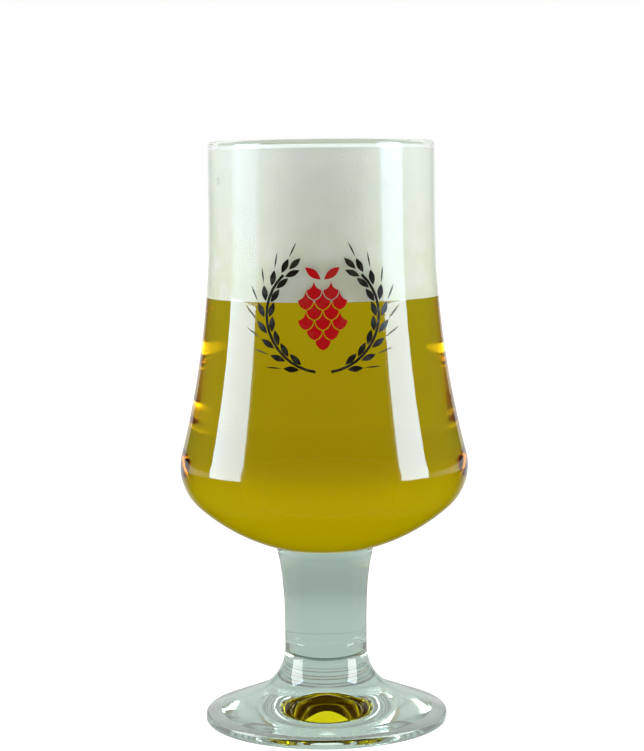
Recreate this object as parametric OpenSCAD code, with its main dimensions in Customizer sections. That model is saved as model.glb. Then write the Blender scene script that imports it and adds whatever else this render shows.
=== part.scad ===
// Tulip beer glass on a short solid stem, filled with golden beer under a thick foam head.
// The bowl, the stem and the foot are three gathers of glass, fused in line on one axis.
// A two-colour enamel print, a wreath of barley round a hop cone, is fired on the front.
// Millimetres, +Z up, origin on the table under the axis, front of the glass towards -Y.

/* [Foot] */
// Radius of the foot
foot_r = 33.5; // [28:0.1:42]
// Height of the upright edge round the foot
foot_edge_h = 3.1; // [2.8:0.1:6]
// Rounding of that edge, above and below
foot_edge_round = 1.1; // [0.6:0.1:1.4]
// Height of the foot with its collar, up to the seam under the stem
foot_h = 22.9; // [18:0.1:32]
// Height of the straight part of the collar, below the seam
collar_h = 2.6; // [1:0.1:5]
// Radius of the fillet from the collar out to the foot
foot_fillet_r = 13; // [8:0.1:15]
// Width of the flat ring that stands on the table
contact_ring_w = 4.5; // [2:0.1:8]
// Depth of the hollow under the foot
punt_depth = 5.1; // [2:0.1:7]
// Radius of the rounded tip of that hollow
punt_tip_r = 19; // [12:0.5:24]

/* [Stem] */
// Radius of the stem at the seam over the foot
stem_r = 11.35; // [9:0.05:14]
// Radius of the stem where it meets the bowl
stem_top_r = 13.5; // [10:0.05:16]
// Height from the seam to the lowest point of the bowl
stem_h = 24.1; // [15:0.1:60]
// How late the stem swells towards the bowl, as a power of the height
stem_swell_power = 2.9; // [1.5:0.1:4]

/* [Bowl] */
// Greatest outer radius, at the belly
belly_r = 39.65; // [34:0.05:48]
// Height of the belly over the lowest point of the bowl
belly_rise = 24.3; // [20:0.1:40]
// Radius of the rounded belly in section
belly_round = 14.6; // [8:0.1:15.5]
// Outer radius at the narrowest part of the neck
neck_r = 30.85; // [24:0.05:33]
// Height of the neck over the belly
neck_rise = 69.3; // [45:0.1:95]
// Outer radius at the rim
rim_r = 30.8; // [26:0.05:38]
// Height of the rim over the neck
rim_rise = 19.4; // [10:0.1:40]
// Thickness of the wall
wall = 2.2; // [1.4:0.1:3]
// Thickness of the glass under the beer, on the axis
base_t = 4; // [2.5:0.1:6]

/* [Fill] */
// Distance from the rim down to the top of the beer
beer_drop = 42.3; // [25:0.1:70]
// Distance from the rim down to the foam at the wall
foam_drop = 2.2; // [1.5:0.1:8]
// How much lower the foam lies in the middle
foam_dip = 3.4; // [1:0.1:8]
// Width of the sloping border of the foam along the wall
foam_border_w = 5.4; // [3:0.1:9]

/* [Print] */
// Distance from the rim down to the middle of the print
print_drop = 45.5; // [38:0.1:55]
// Radius of the wreath, to the middle of its stalks
wreath_r = 14.6; // [11:0.1:17]
// Width of a stalk
stalk_w = 0.7; // [0.4:0.05:1.2]
// Grains along each side of a stalk
grain_count = 8; // [4:1:10]
// Length of a grain
grain_l = 4.2; // [3:0.1:5.5]
// Width of a grain
grain_w = 1.6; // [1:0.05:2]
// Length of the awn at the tip of an outer grain
awn_l = 4.5; // [2:0.1:6]
// Width of an awn
awn_w = 0.4; // [0.3:0.05:0.7]
// Length of one scale of the hop cone
scale_l = 5.2; // [3.4:0.1:6]
// Width of one scale of the hop cone
scale_w = 4.4; // [2.6:0.1:5]
// Gap between the scales
scale_gap = 0.4; // [0.2:0.05:0.8]
// Length of a leaf over the hop cone
hop_leaf_l = 5.2; // [3:0.1:7]
// Width of a leaf over the hop cone
hop_leaf_w = 2.1; // [1:0.1:3]
// Thickness of the fired enamel
enamel_t = 0.12; // [0.08:0.01:0.3]

/* [Hidden] */
$fn = 128;

// Steps along an arc or a curve of a profile
arc_steps = 14;
// Steps along one edge of a grain or a scale
leaf_steps = 5;
// How far a cutting shape runs past what it cuts
overrun = 1;
// Bond line between the enamel and the glass
enamel_bond_t = 0.02;

// Heights, chained from the table upwards
base_z = foot_h + stem_h;
belly_z = base_z + belly_rise;
neck_z = belly_z + neck_rise;
rim_z = neck_z + rim_rise;
beer_z = rim_z - beer_drop;
foam_edge_z = rim_z - foam_drop;
foam_middle_z = foam_edge_z - foam_dip;

// The flank is an arc that touches the rounded belly and is upright at the neck
waist = belly_r - neck_r;
flank_r = (waist * waist + neck_rise * neck_rise) / (2 * waist) - belly_round;

// Height at which the rounded belly turns into the flank
function flank_z(inset) = belly_z + (belly_round - inset) * neck_rise / (belly_round + flank_r);

// Points along an arc, from one angle to another
function arc(centre, r, from, to) =
    [for (i = [0 : arc_steps]) let (a = from + (to - from) * i / arc_steps)
        centre + r * [cos(a), sin(a)]];

// Radius of the bottom sphere that touches the rounded belly, for a bottom raised by lift
function bottom_r(inset, lift) =
    let (rise = belly_rise - lift, round = belly_round - inset, reach = belly_r - belly_round)
    (reach * reach + rise * rise - round * round) / (2 * (rise - round));

// Angle, from straight down, at which that sphere meets the rounded belly
function bottom_angle(inset, lift) =
    atan2(belly_r - belly_round, bottom_r(inset, lift) - belly_rise + lift);

// Arc of the bottom sphere between two angles from straight down
function bottom_arc(inset, lift, from, to) =
    let (r = bottom_r(inset, lift))
    arc([0, base_z + lift + r], r, from - 90, to - 90);

// Rounded belly, from the bottom sphere up to the widest point
function belly_arc(inset, lift) =
    arc([belly_r - belly_round, belly_z], belly_round - inset, bottom_angle(inset, lift) - 90, 0);

// Radius of the side of the bowl at a height over the belly
function side_r(z, inset) =
    z > neck_z ? neck_r - inset + (rim_r - neck_r) * pow((z - neck_z) / rim_rise, 2) :
    z > flank_z(inset) ? neck_r + flank_r - sqrt(pow(flank_r + inset, 2) - pow(neck_z - z, 2)) :
    belly_r - belly_round + sqrt(pow(belly_round - inset, 2) - pow(z - belly_z, 2));

// Points up the side between two heights
function side(from, to, inset) =
    [for (i = [0 : arc_steps]) let (z = from + (to - from) * i / arc_steps) [side_r(z, inset), z]];

// The inside of the bowl, below the beer line and above it
inside_low = concat(
    bottom_arc(wall, base_t, 0, bottom_angle(wall, base_t)),
    belly_arc(wall, base_t),
    side(belly_z, flank_z(wall), wall),
    side(flank_z(wall), beer_z, wall));
inside_foam = side(beer_z, foam_edge_z, wall);

// The socket in the top of the stem follows the bowl's bottom
socket_angle = asin(stem_top_r / bottom_r(0, 0));
socket = bottom_arc(0, 0, 0, socket_angle);
stem_top_z = socket[arc_steps][1];

// Slope of the foot: the line that touches both the fillet and the rounded edge
fillet_centre = [stem_r + foot_fillet_r, foot_h - collar_h];
edge_centre = [foot_r - foot_edge_round, foot_edge_h - foot_edge_round];
fillet_to_edge = fillet_centre - edge_centre;
slope_angle = atan2(fillet_to_edge[1], fillet_to_edge[0])
    - acos((foot_fillet_r + foot_edge_round) / norm(fillet_to_edge));

// Hollow under the foot, a shallow cone with a rounded tip inside the contact ring
punt_r = foot_r - foot_edge_round - contact_ring_w;
punt_tip_drop = punt_tip_r - punt_depth;
punt_angle = asin(punt_tip_r / norm([punt_r, punt_tip_drop])) - atan2(punt_tip_drop, punt_r);

// The print
print_z = rim_z - print_drop;
// Angle from the top of the wreath to the end of a stalk
wreath_open_angle = 44;
// Angle from the foot of the wreath to the start of a stalk
wreath_tie_angle = 8;
// Lean of a grain away from its stalk
grain_tilt = 20;
// Gap between a grain and its stalk or its awn
grain_gap = 0.3;
// Scales in each row of the hop cone, from the top
hop_rows = [2, 3, 2, 3, 2, 1];
// Bulge of a scale's lower edges, as a share of its width
scale_bulge_share = 0.13;
// Lean of the hop leaves from the upright
hop_leaf_tilt = 52;
hop_l = (len(hop_rows) + 1) * scale_l / 2;

module bowl() {
    lip_r = wall / 2;
    outside = concat(
        socket,
        bottom_arc(0, 0, socket_angle, bottom_angle(0, 0)),
        belly_arc(0, 0),
        side(belly_z, flank_z(0), 0),
        side(flank_z(0), neck_z, 0),
        side(neck_z, rim_z - lip_r, 0));
    lip = arc([side_r(rim_z - lip_r, lip_r), rim_z - lip_r], lip_r, 0, 180);
    inside_top = side(foam_edge_z, rim_z - lip_r, wall);
    inside = concat(inside_low, inside_foam, inside_top);
    color([0.86, 0.92, 0.89, 0.35])
        rotate_extrude()
            polygon(concat(outside, lip, reversed(inside)));
}

module stem() {
    flank = [for (i = [0 : arc_steps]) let (t = i / arc_steps)
        [stem_r + (stem_top_r - stem_r) * pow(t, stem_swell_power), foot_h + (stem_top_z - foot_h) * t]];
    color([0.66, 0.74, 0.70, 0.5])
        rotate_extrude()
            polygon(concat([[0, foot_h]], flank, reversed(socket)));
}

module foot() {
    low_edge_centre = [foot_r - foot_edge_round, foot_edge_round];
    outline = concat(
        [[0, foot_h], [stem_r, foot_h]],
        arc(fillet_centre, foot_fillet_r, 180, 180 + slope_angle),
        arc(edge_centre, foot_edge_round, slope_angle, 0),
        arc(low_edge_centre, foot_edge_round, 0, -90),
        [[punt_r, 0]],
        arc([0, -punt_tip_drop], punt_tip_r, 90 - punt_angle, 90));
    color([0.74, 0.82, 0.78, 0.5])
        rotate_extrude()
            polygon(outline);
}

module beer() {
    color([0.63, 0.55, 0.05, 0.85])
        rotate_extrude()
            polygon(concat(inside_low, [[0, beer_z]]));
}

module foam_head() {
    wall_r = side_r(foam_edge_z, wall);
    border = [for (i = [0 : arc_steps]) let (t = i / arc_steps)
        [wall_r - foam_border_w * t, foam_middle_z + foam_dip * (1 + cos(180 * t)) / 2]];
    color([0.93, 0.94, 0.90])
        rotate_extrude()
            polygon(concat([[0, beer_z]], inside_foam, border, [[0, foam_middle_z]]));
}

// A list of points in the other order
function reversed(points) = [for (i = [len(points) - 1 : -1 : 0]) points[i]];

// Outline of a pointed leaf that starts at the origin and runs along +X
function leaf(l, w) =
    concat(
        [for (i = [0 : leaf_steps]) let (t = i / leaf_steps) [l * t, -w * sin(180 * t) / 2]],
        [for (i = [leaf_steps - 1 : -1 : 1]) let (t = i / leaf_steps) [l * t, w * sin(180 * t) / 2]]);

// Thin skin over the front of the bowl, in the shape of its children
module enamel(half_h) {
    low = print_z - half_h;
    high = print_z + half_h;
    inner = side(low, high, -enamel_bond_t);
    outer = side(low, high, -enamel_bond_t - enamel_t);
    intersection() {
        rotate_extrude()
            polygon(concat(outer, reversed(inner)));
        translate([0, 0, print_z])
            rotate([90, 0, 0])
                linear_extrude(belly_r + overrun)
                    children();
    }
}

// One ear of the wreath: grains in pairs along a bowed stalk, with awns on the outer ones
module barley_ear() {
    start = wreath_tie_angle - 90;
    end = 90 - wreath_open_angle;
    stalk_outer = arc([0, 0], wreath_r + stalk_w / 2, start, end);
    stalk_inner = arc([0, 0], wreath_r - stalk_w / 2, end, start);
    polygon(concat(stalk_outer, stalk_inner));
    seat = stalk_w / 2 + grain_gap;
    for (i = [1 : grain_count], s = [-1, 1])
        rotate(start + (end - start) * i / grain_count)
            translate([wreath_r + s * seat, 0])
                rotate(90 - s * grain_tilt) {
                    polygon(leaf(grain_l, grain_w));
                    if (s > 0)
                        translate([grain_l + grain_gap, 0])
                            polygon(leaf(awn_l, awn_w));
                }
    rotate(end)
        translate([wreath_r, grain_l / 2])
            rotate(90)
                polygon(leaf(grain_l, grain_w));
}

module print_dark() {
    color([0.10, 0.09, 0.06])
        enamel(wreath_r + grain_l + awn_l)
            for (s = [0, 1])
                mirror([s, 0])
                    barley_ear();
}

// One edge of a scale between two corners, bowed to the right of its way by bow
function bowed_edge(from, to, bow) =
    let (along = to - from, right = [along[1], -along[0]] / norm(along))
    [for (i = [0 : leaf_steps - 1]) let (t = i / leaf_steps)
        from + along * t + right * bow * sin(180 * t)];

// Outline of a hanging scale: bowed out below, and hollowed above so that scales nest in rows
function scale_outline(l, w) =
    let (bow = w * scale_bulge_share, top = [0, l / 2], low = [0, -l / 2], right = [w / 2, 0])
    concat(
        bowed_edge(top, -right, -bow),
        bowed_edge(-right, low, bow),
        bowed_edge(low, right, bow),
        bowed_edge(right, top, -bow));

// Hop cone: rows of hanging scales under two leaves
module hop_cone() {
    for (row = [0 : len(hop_rows) - 1], i = [0 : hop_rows[row] - 1])
        translate([(i - (hop_rows[row] - 1) / 2) * scale_w, (hop_l - scale_l - row * scale_l) / 2])
            polygon(scale_outline(scale_l - scale_gap, scale_w - scale_gap));
    for (s = [-1, 1])
        translate([s * scale_gap, (hop_l + scale_gap) / 2])
            rotate(90 - s * hop_leaf_tilt)
                polygon(leaf(hop_leaf_l, hop_leaf_w));
}

module print_red() {
    color([0.72, 0.04, 0.05])
        enamel(hop_l / 2 + hop_leaf_l)
            hop_cone();
}

bowl();
stem();
foot();
beer();
foam_head();
print_dark();
print_red();
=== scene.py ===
"""Tulip beer glass: finishes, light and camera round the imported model.

Metres, +Z up, the glass stands on z = 0 and its front faces -Y.
"""

import math

import bpy
from mathutils import Matrix, Vector


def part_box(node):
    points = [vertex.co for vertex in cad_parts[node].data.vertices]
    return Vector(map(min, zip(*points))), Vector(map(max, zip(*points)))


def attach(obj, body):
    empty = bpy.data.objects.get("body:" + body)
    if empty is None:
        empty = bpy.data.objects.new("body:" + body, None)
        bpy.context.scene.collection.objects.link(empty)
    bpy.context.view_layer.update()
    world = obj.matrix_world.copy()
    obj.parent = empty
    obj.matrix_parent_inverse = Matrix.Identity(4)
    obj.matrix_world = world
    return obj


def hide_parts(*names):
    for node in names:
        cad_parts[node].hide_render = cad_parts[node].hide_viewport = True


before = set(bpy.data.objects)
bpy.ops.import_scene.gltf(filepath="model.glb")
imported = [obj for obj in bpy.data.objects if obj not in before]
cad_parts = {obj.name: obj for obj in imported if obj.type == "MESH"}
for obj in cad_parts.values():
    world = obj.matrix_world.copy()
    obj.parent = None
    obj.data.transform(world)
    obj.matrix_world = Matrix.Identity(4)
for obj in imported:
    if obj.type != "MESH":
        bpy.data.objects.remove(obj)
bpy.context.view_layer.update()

MM = 0.001
scene = bpy.context.scene

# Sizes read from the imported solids
bowl_low, bowl_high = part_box("bowl")
stem_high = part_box("stem")[1]
foot_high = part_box("foot")[1]
beer_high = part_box("beer")[1]
foam_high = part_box("foam_head")[1]
base_z = bowl_low[2]
rim_z = bowl_high[2]
belly_r = bowl_high[0]
stem_top_r = stem_high[0]
foot_r = foot_high[0]
foot_h = foot_high[2]
beer_z = beer_high[2]
foam_edge_z = foam_high[2]

# Sizes that the boxes don't give, as in the part's source
BELLY_RISE = 24.3 * MM
BELLY_ROUND = 14.6 * MM
NECK_R = 30.85 * MM
NECK_RISE = 69.3 * MM
RIM_R = 30.8 * MM
WALL = 2.2 * MM
BASE_T = 4 * MM
STEM_R = 11.35 * MM
STEM_SWELL_POWER = 2.9
FOOT_EDGE_H = 3.1 * MM
FOOT_EDGE_ROUND = 1.1 * MM
COLLAR_H = 2.6 * MM
FOOT_FILLET_R = 13 * MM
CONTACT_RING_W = 4.5 * MM
PUNT_DEPTH = 5.1 * MM
PUNT_TIP_R = 19 * MM
FOAM_DIP = 3.4 * MM
FOAM_BORDER_W = 5.4 * MM
# Radius of the middle of the foam's underside, which takes the painted shade
FOAM_UNDER_SHADE_R = 23 * MM
SEAM_ROUND = 0.1 * MM

# Hairline between pieces that touch, so that a ray meets them in order
HAIRLINE = 0.02 * MM
# A ring narrower than this closes to a point on the axis
AXIS_R = 0.002 * MM
SEGMENTS = 192
FLOOR_SEGMENTS = 64
ARC_STEPS = 20
FLANK_STEPS = 2 * ARC_STEPS
PUNT_STEPS = 3 * ARC_STEPS
FILLET_STEPS = 8 * ARC_STEPS
SEAM_STEPS = 6
LIP_STEPS = 3
SHARP_ANGLE = math.radians(35)
QUARTER_TURN = math.pi / 2

belly_z = base_z + BELLY_RISE
neck_z = belly_z + NECK_RISE
rim_rise = rim_z - neck_z
waist = belly_r - NECK_R
flank_r = (waist**2 + NECK_RISE**2) / (2 * waist) - BELLY_ROUND


# Profiles: lists of (radius, height)
def arc(centre, radius, start, end, steps=ARC_STEPS):
    """Points along an arc, between two angles in radians."""
    points = []
    for i in range(steps + 1):
        a = start + (end - start) * i / steps
        points.append((centre[0] + radius * math.cos(a), centre[1] + radius * math.sin(a)))
    return points


def bottom_r(inset, lift):
    """Radius of the sphere under the bowl that touches the rounded belly."""
    rise = BELLY_RISE - lift
    round_r = BELLY_ROUND - inset
    reach = belly_r - BELLY_ROUND
    return (reach**2 + rise**2 - round_r**2) / (2 * (rise - round_r))


def bottom_angle(inset, lift):
    """Angle from straight down at which that sphere meets the rounded belly."""
    return math.atan2(belly_r - BELLY_ROUND, bottom_r(inset, lift) - BELLY_RISE + lift)


def bottom_arc(inset, lift, start, end, grow=0.0):
    """Arc of the bottom sphere between two angles from straight down."""
    r = bottom_r(inset, lift)
    return arc((0.0, base_z + lift + r), r + grow, start - QUARTER_TURN, end - QUARTER_TURN)


def belly_arc(inset, lift):
    """Rounded belly, from the bottom sphere to the widest point."""
    start = bottom_angle(inset, lift) - QUARTER_TURN
    return arc((belly_r - BELLY_ROUND, belly_z), BELLY_ROUND - inset, start, 0.0)


def flank_z(inset):
    """Height at which the rounded belly turns into the flank."""
    return belly_z + (BELLY_ROUND - inset) * NECK_RISE / (BELLY_ROUND + flank_r)


def side_r(z, inset):
    """Radius of the side of the bowl at a height over the belly."""
    if z > neck_z:
        return NECK_R - inset + (RIM_R - NECK_R) * ((z - neck_z) / rim_rise) ** 2
    if z > flank_z(inset):
        return NECK_R + flank_r - math.sqrt((flank_r + inset) ** 2 - (neck_z - z) ** 2)
    return belly_r - BELLY_ROUND + math.sqrt((BELLY_ROUND - inset) ** 2 - (z - belly_z) ** 2)


def side(start, end, inset, steps=ARC_STEPS):
    """Points up the side of the bowl between two heights."""
    heights = [start + (end - start) * i / steps for i in range(steps + 1)]
    return [(side_r(z, inset), z) for z in heights]


def inside_low(inset, lift):
    """The inside of the bowl, from the axis up to the beer line."""
    return (
        bottom_arc(inset, lift, 0.0, bottom_angle(inset, lift))
        + belly_arc(inset, lift)[1:]
        + side(belly_z, flank_z(inset), inset)[1:]
        + side(flank_z(inset), beer_z, inset)[1:]
    )


# Meshes
def profile_normals(profile):
    """Outward normals along a profile: a pair for each point, for the steps below and above it.

    The two are one where the profile is smooth, and differ at a corner.
    """
    steps = [Vector(b) - Vector(a) for a, b in zip(profile, profile[1:])]
    lengths = [step.length for step in steps]
    across = [Vector((step.y, -step.x)).normalized() for step in steps]
    normals = [(across[0], across[0])]
    for i in range(1, len(steps)):
        below, above = across[i - 1], across[i]
        if below.angle(above) < SHARP_ANGLE:
            smooth = (below * lengths[i] + above * lengths[i - 1]).normalized()
            below, above = smooth, smooth
        normals.append((below, above))
    normals.append((across[-1], across[-1]))
    return normals


def lathe(name, runs, materials, segments=SEGMENTS):
    """Turns runs of profile points into one mesh.

    runs is a list of (points, material index). Each run starts where the one before it ends.
    """
    profile = [runs[0][0][0]]
    slots = []
    for points, slot in runs:
        profile += points[1:]
        slots += [slot] * (len(points) - 1)
    vertices = []
    rings = []
    for r, z in profile:
        first = len(vertices)
        if r < AXIS_R:
            vertices.append((0.0, 0.0, z))
            rings.append([first] * segments)
            continue
        for k in range(segments):
            a = 2 * math.pi * k / segments
            vertices.append((r * math.cos(a), r * math.sin(a), z))
        rings.append(list(range(first, first + segments)))
    faces = []
    face_slots = []
    corner_normals = []
    normals = profile_normals(profile)
    for i, slot in enumerate(slots):
        low, high = rings[i], rings[i + 1]
        low_normal, high_normal = normals[i][1], normals[i + 1][0]
        for k in range(segments):
            n = (k + 1) % segments
            corners = [(low[k], k, low_normal), (low[n], n, low_normal)]
            corners += [(high[n], n, high_normal), (high[k], k, high_normal)]
            face = []
            for vertex, turn, normal in corners:
                if vertex in face:
                    continue
                face.append(vertex)
                a = 2 * math.pi * turn / segments
                corner_normals.append((normal.x * math.cos(a), normal.x * math.sin(a), normal.y))
            faces.append(face)
            face_slots.append(slot)
    mesh = bpy.data.meshes.new(name)
    mesh.from_pydata(vertices, [], faces)
    for material in materials:
        mesh.materials.append(material)
    mesh.polygons.foreach_set("material_index", face_slots)
    mesh.shade_smooth()
    mesh.normals_split_custom_set(corner_normals)
    mesh.update()
    obj = bpy.data.objects.new(name, mesh)
    scene.collection.objects.link(obj)
    return obj


# Materials
# Colour sockets of a Mix node, whose names it shares with its number sockets
MIX_COLOUR_A = 6
MIX_COLOUR_B = 7
MIX_COLOUR_RESULT = 2


def choose(tree, test, otherwise, chosen):
    """A number that is chosen where the test is 1, and otherwise where it is 0. Both may be sockets."""
    mix = tree.nodes.new("ShaderNodeMix")
    mix.data_type = "FLOAT"
    tree.links.new(test, mix.inputs["Factor"])
    for name, value in (("A", otherwise), ("B", chosen)):
        if isinstance(value, bpy.types.NodeSocket):
            tree.links.new(value, mix.inputs[name])
        else:
            mix.inputs[name].default_value = value
    return mix.outputs["Result"]


def ramp(tree, value, start, end):
    """A smooth step of a socket, from 0 at the start to 1 at the end."""
    step = tree.nodes.new("ShaderNodeMapRange")
    step.interpolation_type = "SMOOTHSTEP"
    step.inputs["From Min"].default_value = start
    step.inputs["From Max"].default_value = end
    tree.links.new(value, step.inputs["Value"])
    return step.outputs["Result"]


def blend_colours(tree, test, otherwise, chosen):
    """A colour between two others, by a socket from 0 to 1."""
    mix = tree.nodes.new("ShaderNodeMix")
    mix.data_type = "RGBA"
    tree.links.new(test, mix.inputs["Factor"])
    for index, colour in ((MIX_COLOUR_A, otherwise), (MIX_COLOUR_B, chosen)):
        if isinstance(colour, bpy.types.NodeSocket):
            tree.links.new(colour, mix.inputs[index])
        else:
            mix.inputs[index].default_value = (*colour, 1)
    return mix.outputs[MIX_COLOUR_RESULT]


def noise(tree, scale, detail):
    """Soft noise in the object's own space, with so many waves to the metre."""
    where = tree.nodes.new("ShaderNodeTexCoord")
    texture = tree.nodes.new("ShaderNodeTexNoise")
    texture.inputs["Scale"].default_value = scale
    texture.inputs["Detail"].default_value = detail
    tree.links.new(where.outputs["Object"], texture.inputs["Vector"])
    return texture.outputs["Fac"]


def cells(tree, scale):
    """Bubble cells in the object's own space: the distance to their middles, and a number for each."""
    where = tree.nodes.new("ShaderNodeTexCoord")
    texture = tree.nodes.new("ShaderNodeTexVoronoi")
    texture.inputs["Scale"].default_value = scale
    tree.links.new(where.outputs["Object"], texture.inputs["Vector"])
    return texture.outputs["Distance"], texture.outputs["Color"]


def axes_of(tree):
    """The place on a surface, as X, Y and Z sockets in metres."""
    where = tree.nodes.new("ShaderNodeTexCoord")
    axes = tree.nodes.new("ShaderNodeSeparateXYZ")
    tree.links.new(where.outputs["Object"], axes.inputs["Vector"])
    return axes.outputs


def emboss(tree, height, depth):
    """Relief from a socket from 0 to 1, so many metres deep."""
    bump = tree.nodes.new("ShaderNodeBump")
    bump.inputs["Strength"].default_value = 1
    bump.inputs["Distance"].default_value = depth
    tree.links.new(height, bump.inputs["Height"])
    tree.links.new(bump.outputs["Normal"], shader_of(tree).inputs["Normal"])


def new_material(name):
    """A node material and its tree."""
    material = bpy.data.materials.new(name)
    material.use_nodes = True
    return material, material.node_tree


def shader_of(tree):
    """The Principled shader of a new material."""
    return tree.nodes["Principled BSDF"]


def output_of(tree):
    """The output of a new material."""
    return tree.nodes["Material Output"]


def let_lamps_through(tree):
    """Clear pieces don't stop the lamps: shadow rays pass straight through."""
    path = tree.nodes.new("ShaderNodeLightPath")
    clear = tree.nodes.new("ShaderNodeBsdfTransparent")
    mix = tree.nodes.new("ShaderNodeMixShader")
    tree.links.new(path.outputs["Is Shadow Ray"], mix.inputs["Fac"])
    tree.links.new(shader_of(tree).outputs["BSDF"], mix.inputs[1])
    tree.links.new(clear.outputs["BSDF"], mix.inputs[2])
    tree.links.new(mix.outputs["Shader"], output_of(tree).inputs["Surface"])


def absorb(tree, per_metre):
    """Light lost in the depth of a clear piece, as red, green and blue per metre."""
    density = max(per_metre)
    volume = tree.nodes.new("ShaderNodeVolumeAbsorption")
    volume.inputs["Color"].default_value = (*[1 - loss / density for loss in per_metre], 1)
    volume.inputs["Density"].default_value = density
    tree.links.new(volume.outputs["Volume"], output_of(tree).inputs["Volume"])


def clear_material(name, ior, tint):
    """Clear glass or liquid with an index of refraction and a tint, a little wavy and smeared."""
    material, tree = new_material(name)
    shader = shader_of(tree)
    shader.inputs["Base Color"].default_value = (*tint, 1)
    shader.inputs["Transmission Weight"].default_value = 1
    shader.inputs["IOR"].default_value = ior
    smear = ramp(tree, noise(tree, SMEAR_SCALE, SMEAR_DETAIL), *SMEAR_RANGE)
    tree.links.new(choose(tree, smear, 0, SMEAR_ROUGHNESS), shader.inputs["Roughness"])
    emboss(tree, noise(tree, WAVE_SCALE, WAVE_DETAIL), WAVE_DEPTH)
    let_lamps_through(tree)
    return material


def beer_material(loss):
    """Liquid that takes up light along its depth. The wet glass round it bends the rays."""
    material = clear_material("beer_liquid", UNBENT_IOR, CLEAR)
    absorb(material.node_tree, loss)
    return material


GLASS_IOR = 1.52
BEER_IOR = 1.345
UNBENT_IOR = 1.0
CLEAR = (1, 1, 1)
BOWL_TINT = (0.90, 0.94, 0.92)
STEM_TINT = (0.285, 0.364, 0.321)
BEER_LOSS = (2.5, 7.5, 150)

SMEAR_SCALE = 70
SMEAR_DETAIL = 4
SMEAR_RANGE = (0.55, 0.8)
SMEAR_ROUGHNESS = 0.02
WAVE_SCALE = 45
WAVE_DETAIL = 0
WAVE_DEPTH = 0.03 * MM

bowl_clear = clear_material("bowl_clear", GLASS_IOR, BOWL_TINT)
stem_clear = clear_material("stem_clear", GLASS_IOR, STEM_TINT)
wet_glass = clear_material("wet_glass", GLASS_IOR / BEER_IOR, CLEAR)
fused_glass = clear_material("fused_glass", UNBENT_IOR, CLEAR)
shader_of(fused_glass.node_tree).inputs["Alpha"].default_value = 0
beer_liquid = beer_material(BEER_LOSS)


def foam_material():
    """Fine foam with a painted glow: yellower towards the beer line, standing in for light that comes up
    through the beer; mottled, with a few larger bubbles.
    """
    material, tree = new_material("foam")
    shader = shader_of(tree)
    # Painted glow of light through the beer: yellowest at the beer line, fading to the foam's own colour at
    # the top
    beer_glow_fade = ramp(tree, axes_of(tree)["Z"], beer_z, foam_edge_z)
    colour = blend_colours(tree, beer_glow_fade, FOAM_BEER_GLOW, FOAM_HIGH)
    mottle = ramp(tree, noise(tree, FOAM_MOTTLE_SCALE, FOAM_MOTTLE_DETAIL), *FOAM_MOTTLE_RANGE)
    colour = blend_colours(tree, mottle, colour, FOAM_PALE)
    distance, number = cells(tree, FOAM_POP_SCALE)
    ring = choose(tree, ramp(tree, distance, *FOAM_RING_IN), 0, 1)
    ring = choose(tree, ramp(tree, distance, *FOAM_RING_OUT), ring, 0)
    few = ramp(tree, number, *FOAM_FEW_RANGE)
    colour = blend_colours(tree, choose(tree, few, 0, ring), colour, FOAM_RING)
    tree.links.new(colour, shader.inputs["Base Color"])
    tree.links.new(choose(tree, mottle, *FOAM_ROUGHNESS), shader.inputs["Roughness"])
    emboss(tree, cells(tree, FOAM_BUBBLE_SCALE)[0], FOAM_BUBBLE_DEPTH)
    return material


def foam_shade_under_material():
    """The underside of the foam, painted dark brown and mottled: painted shade, for the little light that
    reaches it up through the beer.
    """
    material, tree = new_material("foam_shade_under")
    shader = shader_of(tree)
    mottle = noise(tree, FOAM_MOTTLE_SCALE, FOAM_UNDER_SHADE_DETAIL)
    colour = blend_colours(tree, mottle, FOAM_UNDER_SHADE_DARK, FOAM_UNDER_SHADE)
    tree.links.new(colour, shader.inputs["Base Color"])
    shader.inputs["Roughness"].default_value = FOAM_UNDER_ROUGHNESS
    return material


def enamel_material(name, colour, thin):
    """Fired screen-print enamel: thinner in places, with the faint grain of the screen."""
    material, tree = new_material(name)
    shader = shader_of(tree)
    cover = ramp(tree, noise(tree, ENAMEL_CLOUD_SCALE, ENAMEL_CLOUD_DETAIL), *ENAMEL_CLOUD_RANGE)
    tree.links.new(blend_colours(tree, cover, thin, colour), shader.inputs["Base Color"])
    tree.links.new(choose(tree, cover, *ENAMEL_ROUGHNESS), shader.inputs["Roughness"])
    shader.inputs["Specular IOR Level"].default_value = ENAMEL_SPECULAR
    emboss(tree, noise(tree, ENAMEL_GRAIN_SCALE, ENAMEL_GRAIN_DETAIL), ENAMEL_GRAIN_DEPTH)
    return material


# Foam: a painted glow of light through the beer at the beer line, then the foam's own colours
FOAM_BEER_GLOW = (0.87, 0.90, 0.69)
FOAM_HIGH = (0.91, 0.96, 0.89)
FOAM_PALE = (0.94, 0.98, 0.88)
FOAM_RING = (0.66, 0.70, 0.62)
FOAM_MOTTLE_SCALE = 150
FOAM_MOTTLE_DETAIL = 5
FOAM_MOTTLE_RANGE = (0.35, 0.7)
FOAM_ROUGHNESS = (0.75, 0.9)
FOAM_POP_SCALE = 90
FOAM_RING_IN = (0.05, 0.075)
FOAM_RING_OUT = (0.075, 0.11)
FOAM_FEW_RANGE = (0.72, 0.74)
FOAM_BUBBLE_SCALE = 1400
FOAM_BUBBLE_DEPTH = 0.06 * MM
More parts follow.
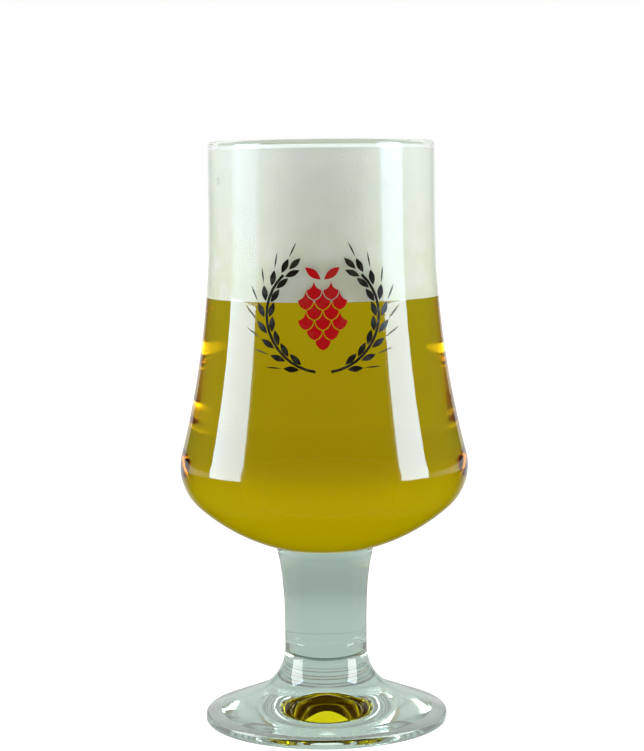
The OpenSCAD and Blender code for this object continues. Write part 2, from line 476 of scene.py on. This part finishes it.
# Painted shade on the foam's underside: dark brown, mottled
FOAM_UNDER_SHADE_DARK = (0.10, 0.06, 0.02)
FOAM_UNDER_SHADE = (0.22, 0.14, 0.05)
FOAM_UNDER_SHADE_DETAIL = 3
FOAM_UNDER_ROUGHNESS = 0.8
ENAMEL_DARK = (0.012, 0.010, 0.006)
ENAMEL_DARK_THIN = (0.045, 0.040, 0.026)
ENAMEL_RED = (0.70, 0.006, 0.012)
ENAMEL_RED_THIN = (0.62, 0.02, 0.02)
ENAMEL_CLOUD_SCALE = 260
ENAMEL_CLOUD_DETAIL = 4
ENAMEL_CLOUD_RANGE = (0.3, 0.6)
ENAMEL_ROUGHNESS = (0.34, 0.24)
ENAMEL_SPECULAR = 0.3
ENAMEL_GRAIN_SCALE = 3000
ENAMEL_GRAIN_DETAIL = 2
ENAMEL_GRAIN_DEPTH = 0.006 * MM

foam_white = foam_material()
foam_shade_under = foam_shade_under_material()
enamel_dark = enamel_material("enamel_dark", ENAMEL_DARK, ENAMEL_DARK_THIN)
enamel_red = enamel_material("enamel_red", ENAMEL_RED, ENAMEL_RED_THIN)


# Pieces
def finish_piece(obj, node):
    """A piece that stands for a node of the frame and rides on the one body."""
    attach(obj, "root")
    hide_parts(node)


# Angle from straight down at which the stem's edge meets the bowl's bottom
socket_angle = math.asin(stem_top_r / bottom_r(0, 0))


def make_bowl():
    lip_r = WALL / 2
    lip_z = rim_z - lip_r
    joint = bottom_arc(0, 0, 0.0, socket_angle)
    outside = (
        bottom_arc(0, 0, socket_angle, bottom_angle(0, 0))
        + belly_arc(0, 0)[1:]
        + side(belly_z, flank_z(0), 0)[1:]
        + side(flank_z(0), neck_z, 0, FLANK_STEPS)[1:]
        + side(neck_z, lip_z, 0)[1:]
        + arc((side_r(lip_z, lip_r), lip_z), lip_r, 0.0, math.pi)[1:]
        + side(lip_z, foam_edge_z, WALL, LIP_STEPS)[1:]
    )
    inside = side(foam_edge_z, beer_z, WALL)[:-1] + inside_low(WALL, BASE_T)[::-1]
    runs = [(joint, 2), (outside, 0), (inside, 1)]
    bowl = lathe("bowl_glass", runs, [bowl_clear, wet_glass, fused_glass])
    finish_piece(bowl, "bowl")


def make_stem():
    joint = bottom_arc(0, 0, 0.0, socket_angle, HAIRLINE)
    top_z = joint[-1][1]
    low_z = foot_h + HAIRLINE / 2
    flank = arc((STEM_R - SEAM_ROUND, low_z + SEAM_ROUND), SEAM_ROUND, -QUARTER_TURN, 0.0, SEAM_STEPS)
    seam = [(0.0, low_z), flank[0]]
    flank_low_z = low_z + SEAM_ROUND
    for i in range(1, FLANK_STEPS + 1):
        t = i / FLANK_STEPS
        swell = (joint[-1][0] - STEM_R) * t**STEM_SWELL_POWER
        flank.append((STEM_R + swell, flank_low_z + (top_z - flank_low_z) * t))
    stem = lathe("stem_glass", [(seam, 1), (flank, 0), (joint[::-1], 1)], [stem_clear, fused_glass])
    finish_piece(stem, "stem")


def make_foot():
    top_z = foot_h - HAIRLINE / 2
    fillet = Vector((STEM_R + FOOT_FILLET_R, foot_h - COLLAR_H))
    edge = Vector((foot_r - FOOT_EDGE_ROUND, FOOT_EDGE_H - FOOT_EDGE_ROUND))
    low_edge = Vector((edge.x, FOOT_EDGE_ROUND))
    reach = fillet - edge
    slope = math.atan2(reach.y, reach.x) - math.acos((FOOT_FILLET_R + FOOT_EDGE_ROUND) / reach.length)
    punt_r = edge.x - CONTACT_RING_W
    below = PUNT_TIP_R - PUNT_DEPTH
    cone_angle = math.asin(PUNT_TIP_R / math.hypot(punt_r, below)) - math.atan2(below, punt_r)
    tip = arc((0.0, -below), PUNT_TIP_R, QUARTER_TURN - cone_angle, QUARTER_TURN, PUNT_STEPS)
    cone = [Vector((punt_r, 0.0)).lerp(Vector(tip[0]), i / ARC_STEPS) for i in range(ARC_STEPS)]
    rounded = arc((STEM_R - SEAM_ROUND, top_z - SEAM_ROUND), SEAM_ROUND, QUARTER_TURN, 0.0, SEAM_STEPS)
    seam = [(0.0, top_z), rounded[0]]
    surface = (
        rounded
        + arc(fillet, FOOT_FILLET_R, math.pi, math.pi + slope, FILLET_STEPS)
        + arc(edge, FOOT_EDGE_ROUND, slope, 0.0)
        + arc(low_edge, FOOT_EDGE_ROUND, 0.0, -QUARTER_TURN)
        + cone
        + tip
    )
    foot = lathe("foot_glass", [(surface[::-1], 0), (seam[::-1], 1)], [stem_clear, fused_glass])
    finish_piece(foot, "foot")


def make_beer():
    skin = inside_low(WALL + HAIRLINE, BASE_T + HAIRLINE)
    top_z = beer_z - HAIRLINE
    skin[-1] = (skin[-1][0], top_z)
    beer = lathe("beer_fill", [(skin, 0), ([skin[-1], (0.0, top_z)], 0)], [beer_liquid])
    finish_piece(beer, "beer")


def make_foam():
    wall = side(beer_z, foam_edge_z, WALL + HAIRLINE)
    middle_z = foam_edge_z - FOAM_DIP
    border = []
    for i in range(ARC_STEPS + 1):
        t = i / ARC_STEPS
        border_z = middle_z + FOAM_DIP * (1 + math.cos(math.pi * t)) / 2
        border.append((wall[-1][0] - FOAM_BORDER_W * t, border_z))
    # The middle of the foam's underside, which gets the painted-shade material
    wet = [(0.0, beer_z), (FOAM_UNDER_SHADE_R, beer_z)]
    runs = [
        (wet, 1),
        ([wet[-1], wall[0]], 0),
        (wall, 0),
        (border, 0),
        ([border[-1], (0.0, middle_z)], 0),
    ]
    foam = lathe("foam_head_soft", runs, [foam_white, foam_shade_under])
    finish_piece(foam, "foam_head")


make_bowl()
make_stem()
make_foot()
make_beer()
make_foam()
for node, material in (("print_dark", enamel_dark), ("print_red", enamel_red)):
    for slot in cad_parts[node].material_slots:
        slot.material = material


# Studio
def by_ray(tree, light, reflected, through, seen):
    """A strength by kind of ray: light on the object, reflections, views through glass, the camera."""
    path = tree.nodes.new("ShaderNodeLightPath")
    value = choose(tree, path.outputs["Is Glossy Ray"], light, reflected)
    value = choose(tree, path.outputs["Is Transmission Ray"], value, through)
    return choose(tree, path.outputs["Is Camera Ray"], value, seen)


def behind_beer(tree, value, share):
    """A strength of which rays that came through the beer, over many surfaces, keep only a share."""
    path = tree.nodes.new("ShaderNodeLightPath")
    deep = ramp(tree, path.outputs["Transmission Depth"], *BEER_CROSSINGS)
    dim = tree.nodes.new("ShaderNodeMath")
    dim.operation = "MULTIPLY"
    tree.links.new(value, dim.inputs[0])
    tree.links.new(choose(tree, deep, 1, share), dim.inputs[1])
    return dim.outputs["Value"]


WHITE = (1, 1, 1)
# Count of crossed surfaces over which a ray is taken to come through the beer
BEER_CROSSINGS = (4, 5)
BEER_THROUGH = 0.38

# Room: strengths, then where they change, by the parts of a direction that point back, up or sideways
AMBIENT = 0.5
FRONT_AMBIENT = 0.08
FRONT_BLUE = 0.0
HORIZON_THROUGH = 1.2
BACKDROP_THROUGH = 1.65
DARK_REFLECTED = 0.03
BACK_REFLECTED = 0.7
FRONT_THROUGH = 0.6
CEILING_THROUGH = 0.14
CEILING_GREEN = 0.4
CEILING_BLUE = 0.12
SIDE_THROUGH = 0.8
TOP_THROUGH = 4.0
AMBIENT_BACK = (-0.5, 0.5)
REFLECTED_BACK = (0.88, 0.98)
OVER_UP = (0.12, 0.35)
OVER_BACK = (0.1, 0.5)
CEILING_UP = (0.4, 0.6)
CEILING_SIDE = (0.35, 0.65)
BACKDROP_UP = (0.0, 0.16)
BACKDROP_BACK = (-0.2, 0.35)
TOP_UP = (0.78, 0.86)
TOP_BACK = (0.1, 0.3)

# Floor: strengths, then where they change, by distance from the glass or to its back, in metres
FLOOR_R = 4.0
FLOOR_ROUGHNESS = 0.7
FLOOR_LIFT = 0.7
FLOOR_PALE = 0.9
FLOOR_REFLECTED = 0.05
FLOOR_NEAR_THROUGH = 1.5
FLOOR_FAR_THROUGH = 1.15
NEAR_REFLECTED = 0.45
FLOOR_LIT_RANGE = (0.1, 0.9)
FLOOR_THROUGH_RANGE = (0.1, 0.35)
FLOOR_DISTANT_RANGE = (0.5, 2.0)
FLOOR_BACK_RANGE = (0.05, 0.4)
FLOOR_FRONT_RANGE = (-0.06, 0.0)


def make_world():
    """White backdrop behind the glass, a dimmer room round the camera and a dark ceiling."""
    world = bpy.data.worlds.new("studio")
    scene.world = world
    world.use_nodes = True
    tree = world.node_tree
    where = tree.nodes.new("ShaderNodeTexCoord")
    axes = tree.nodes.new("ShaderNodeSeparateXYZ")
    tree.links.new(where.outputs["Generated"], axes.inputs["Vector"])
    back = axes.outputs["Y"]
    up = axes.outputs["Z"]
    light = choose(tree, ramp(tree, back, *AMBIENT_BACK), FRONT_AMBIENT, AMBIENT)
    reflected = choose(tree, ramp(tree, back, *REFLECTED_BACK), DARK_REFLECTED, BACK_REFLECTED)
    over = choose(tree, ramp(tree, up, *OVER_UP), 0, ramp(tree, back, *OVER_BACK))
    reflected = choose(tree, over, reflected, BACK_REFLECTED)
    sideways = tree.nodes.new("ShaderNodeMath")
    sideways.operation = "ABSOLUTE"
    tree.links.new(axes.outputs["X"], sideways.inputs[0])
    beside = ramp(tree, sideways.outputs["Value"], *CEILING_SIDE)
    high = ramp(tree, up, *CEILING_UP)
    behind = ramp(tree, back, *BACKDROP_BACK)
    ceiling = choose(tree, beside, CEILING_THROUGH, SIDE_THROUGH)
    front = choose(tree, high, FRONT_THROUGH, ceiling)
    backdrop = choose(tree, ramp(tree, up, *BACKDROP_UP), HORIZON_THROUGH, BACKDROP_THROUGH)
    through = choose(tree, behind, front, backdrop)
    top = choose(tree, ramp(tree, up, *TOP_UP), 0, ramp(tree, back, *TOP_BACK))
    through = behind_beer(tree, choose(tree, top, through, TOP_THROUGH), BEER_THROUGH)
    overhead = choose(tree, behind, choose(tree, beside, high, 0), 0)
    green = choose(tree, overhead, 1, CEILING_GREEN)
    blue = choose(tree, overhead, 1, CEILING_BLUE)
    light_blue = choose(tree, ramp(tree, back, *AMBIENT_BACK), FRONT_BLUE, 1)
    colour = tree.nodes.new("ShaderNodeCombineColor")
    colour.inputs["Red"].default_value = 1
    tree.links.new(by_ray(tree, 1, 1, green, 1), colour.inputs["Green"])
    tree.links.new(by_ray(tree, light_blue, 1, blue, 1), colour.inputs["Blue"])
    background = tree.nodes["Background"]
    tree.links.new(colour.outputs["Color"], background.inputs["Color"])
    tree.links.new(by_ray(tree, light, reflected, through, 1), background.inputs["Strength"])


def make_floor():
    """White floor. Round the glass, part of its white is the light that falls on it, so shadows show."""
    material, tree = new_material("floor")
    shader = shader_of(tree)
    shader.inputs["Roughness"].default_value = FLOOR_ROUGHNESS
    shader.inputs["Specular IOR Level"].default_value = 0
    where = tree.nodes.new("ShaderNodeTexCoord")
    length = tree.nodes.new("ShaderNodeVectorMath")
    length.operation = "LENGTH"
    tree.links.new(where.outputs["Object"], length.inputs[0])
    distance = length.outputs["Value"]
    back = axes_of(tree)["Y"]
    pale = by_ray(tree, FLOOR_PALE, FLOOR_REFLECTED, 0, FLOOR_PALE)
    tree.links.new(pale, shader.inputs["Base Color"])
    white = choose(tree, ramp(tree, distance, *FLOOR_LIT_RANGE), FLOOR_LIFT, 1)
    far = ramp(tree, distance, *FLOOR_THROUGH_RANGE)
    distant = ramp(tree, distance, *FLOOR_DISTANT_RANGE)
    through = choose(tree, far, FLOOR_NEAR_THROUGH, FLOOR_FAR_THROUGH)
    through = behind_beer(tree, choose(tree, distant, through, HORIZON_THROUGH), BEER_THROUGH)
    reflected = choose(tree, ramp(tree, back, *FLOOR_BACK_RANGE), NEAR_REFLECTED, BACK_REFLECTED)
    reflected = choose(tree, ramp(tree, back, *FLOOR_FRONT_RANGE), 0, reflected)
    lift = tree.nodes.new("ShaderNodeEmission")
    lift.inputs["Color"].default_value = (*WHITE, 1)
    tree.links.new(by_ray(tree, 0, reflected, through, white), lift.inputs["Strength"])
    both = tree.nodes.new("ShaderNodeAddShader")
    tree.links.new(shader.outputs["BSDF"], both.inputs[0])
    tree.links.new(lift.outputs["Emission"], both.inputs[1])
    tree.links.new(both.outputs["Shader"], output_of(tree).inputs["Surface"])
    floor = lathe("floor", [([(FLOOR_R, 0.0), (0.0, 0.0)], 0)], [material], FLOOR_SEGMENTS)


def upright_card(name, material, azimuth, distance, half_w, heights):
    """A flat card that faces the glass. Azimuth counts from the camera's side, to the right."""
    low, high = heights
    corners = [(-half_w, low), (half_w, low), (half_w, high), (-half_w, high)]
    mesh = bpy.data.meshes.new(name)
    mesh.from_pydata([(x, distance, z) for x, z in corners], [], [(0, 1, 2, 3)])
    mesh.materials.append(material)
    card = bpy.data.objects.new(name, mesh)
    scene.collection.objects.link(card)
    card.rotation_euler.z = math.radians(azimuth) + math.pi
    card.visible_camera = False
    card.visible_shadow = False
    return card


STRIP_DISTANCE = 0.6
STRIP_HEIGHTS = (0.0, 0.62)
GLARE_BEHIND_BEER = 0.05
GLINT_BEHIND_BEER = 0.6


def make_strip(name, azimuth, width_angle, colour, radiance, lights):
    """An upright softbox beside the glass, with its azimuth and width in degrees.

    It lights the pieces, or else it only shows in reflections and through glass, weaker behind the beer.
    """
    material, tree = new_material(name)
    glow = tree.nodes.new("ShaderNodeEmission")
    glow.inputs["Color"].default_value = (*colour, 1)
    glow.inputs["Strength"].default_value = radiance
    tree.links.new(glow.outputs["Emission"], output_of(tree).inputs["Surface"])
    if not lights:
        path = tree.nodes.new("ShaderNodeLightPath")
        direct = choose(tree, path.outputs["Diffuse Depth"], radiance, 0)
        straight = behind_beer(tree, direct, GLARE_BEHIND_BEER)
        glint = behind_beer(tree, direct, GLINT_BEHIND_BEER)
        mirrored = ramp(tree, path.outputs["Glossy Depth"], 0, 1)
        tree.links.new(choose(tree, mirrored, straight, glint), glow.inputs["Strength"])
    half_w = STRIP_DISTANCE * math.tan(math.radians(width_angle) / 2)
    strip = upright_card(name, material, azimuth, STRIP_DISTANCE, half_w, STRIP_HEIGHTS)
    strip.visible_diffuse = lights
    strip.visible_glossy = not lights
    strip.visible_transmission = not lights


SCRIM_DISTANCE = 0.06
SCRIM_HALF_W = 0.045
NECK_SCRIM_LIFT = 2.7 * MM
NECK_SCRIM_OVER = 30 * MM
NECK_SCRIM = (beer_z + NECK_SCRIM_LIFT, rim_z + NECK_SCRIM_OVER)
NECK_SCRIM_LEFT = (0.155, 0.155, 0.155)
NECK_SCRIM_RIGHT = (0.36, 0.36, 0.36)
FOOT_SCRIM_LOW = 5 * MM
FOOT_SCRIM_OVER = 12 * MM
FOOT_SCRIM = (FOOT_SCRIM_LOW, base_z + FOOT_SCRIM_OVER)
FOOT_SCRIM_COLOUR = (1.0, 0.8, 0.6)


def make_scrim(name, azimuth, heights, colour, seen_through):
    """A gauze between a softbox and the glass, so that its reflection isn't too strong or too blue there.

    It may also hold back what is seen through the glass.
    """
    material, tree = new_material(name)
    gauze = tree.nodes.new("ShaderNodeBsdfTransparent")
    path = tree.nodes.new("ShaderNodeLightPath")
    through = colour if seen_through else CLEAR
    passed = blend_colours(tree, path.outputs["Is Transmission Ray"], colour, through)
    tree.links.new(passed, gauze.inputs["Color"])
    tree.links.new(gauze.outputs["BSDF"], output_of(tree).inputs["Surface"])
    scrim = upright_card(name, material, azimuth, SCRIM_DISTANCE, SCRIM_HALF_W, heights)
    scrim.visible_diffuse = False


FLAG_GAP = 0.5 * MM
FLAG_DARK_Y = -16 * MM
FLAG_CLEAR_Y = -6 * MM


def make_flag():
    """A black flag under the front of the bowl, which then doesn't mirror stem, foot and floor."""
    material, tree = new_material("flag")
    cloth = tree.nodes.new("ShaderNodeBsdfTransparent")
    faces = tree.nodes.new("ShaderNodeNewGeometry")
    path = tree.nodes.new("ShaderNodeLightPath")
    clear = ramp(tree, axes_of(tree)["Y"], FLAG_DARK_Y, FLAG_CLEAR_Y)
    clear = choose(tree, faces.outputs["Backfacing"], 1, clear)
    clear = choose(tree, path.outputs["Is Transmission Ray"], clear, 1)
    tree.links.new(clear, cloth.inputs["Color"])
    tree.links.new(cloth.outputs["BSDF"], output_of(tree).inputs["Surface"])
    under = bottom_arc(0, 0, socket_angle, bottom_angle(0, 0), FLAG_GAP)
    round_end = (belly_r - BELLY_ROUND, belly_z)
    under += arc(round_end, BELLY_ROUND + FLAG_GAP, bottom_angle(0, 0) - QUARTER_TURN, 0.0)[1:]
    flag = lathe("flag", [(under, 0)], [material])
    flag.visible_camera = False
    flag.visible_shadow = False
    flag.visible_diffuse = False


FILL_LEFT_AZIMUTH = -85
FILL_LEFT_WIDTH = 37
FILL_RIGHT_AZIMUTH = 79.5
FILL_RIGHT_WIDTH = 31
FILL_RADIANCE = 5.0
GLARE_LEFT_AZIMUTH = -83
GLARE_LEFT_WIDTH = 32.5
GLARE_LEFT_RADIANCE = 13.6
GLARE_RIGHT_AZIMUTH = 74
GLARE_RIGHT_WIDTH = 26.5
GLARE_RIGHT_RADIANCE = 15.0
GLARE_COLOUR = (0.60, 0.75, 0.97)

make_world()
make_floor()
make_strip("fill_left", FILL_LEFT_AZIMUTH, FILL_LEFT_WIDTH, WHITE, FILL_RADIANCE, True)
make_strip("fill_right", FILL_RIGHT_AZIMUTH, FILL_RIGHT_WIDTH, WHITE, FILL_RADIANCE, True)
make_strip("glare_left", GLARE_LEFT_AZIMUTH, GLARE_LEFT_WIDTH, GLARE_COLOUR, GLARE_LEFT_RADIANCE, False)
make_strip("glare_right", GLARE_RIGHT_AZIMUTH, GLARE_RIGHT_WIDTH, GLARE_COLOUR, GLARE_RIGHT_RADIANCE, False)
make_scrim("scrim_left", GLARE_LEFT_AZIMUTH, NECK_SCRIM, NECK_SCRIM_LEFT, False)
make_scrim("scrim_right", GLARE_RIGHT_AZIMUTH, NECK_SCRIM, NECK_SCRIM_RIGHT, False)
make_scrim("foot_scrim_left", GLARE_LEFT_AZIMUTH, FOOT_SCRIM, FOOT_SCRIM_COLOUR, True)
make_scrim("foot_scrim_right", GLARE_RIGHT_AZIMUTH, FOOT_SCRIM, FOOT_SCRIM_COLOUR, True)
make_flag()

# Camera, fitted to the ellipses and the outline of the glass in the photograph
FRAME_H_PX = 751
SENSOR = 36.0
FOCAL_PX = 2022.0
CAMERA_PLACE = (-0.36 * MM, -554 * MM, 147.6 * MM)
CAMERA_PITCH = 5.323
CAMERA_ROLL = -0.577
CAMERA_CLIP = 0.01
THROUGH_BOUNCES = 64
MIRROR_BOUNCES = 32


def make_camera():
    data = bpy.data.cameras.new("camera")
    data.sensor_width = SENSOR
    data.lens = FOCAL_PX * SENSOR / FRAME_H_PX
    data.clip_start = CAMERA_CLIP
    camera = bpy.data.objects.new("camera", data)
    scene.collection.objects.link(camera)
    turn = Matrix.Rotation(math.radians(90 - CAMERA_PITCH), 4, "X")
    roll = Matrix.Rotation(math.radians(CAMERA_ROLL), 4, "Z")
    camera.matrix_world = Matrix.Translation(CAMERA_PLACE) @ turn @ roll
    scene.camera = camera


make_camera()
scene.view_settings.view_transform = "Standard"
scene.cycles.max_bounces = THROUGH_BOUNCES
scene.cycles.transmission_bounces = THROUGH_BOUNCES
scene.cycles.glossy_bounces = MIRROR_BOUNCES
scene.cycles.transparent_max_bounces = MIRROR_BOUNCES

bpy.context.view_layer.update()
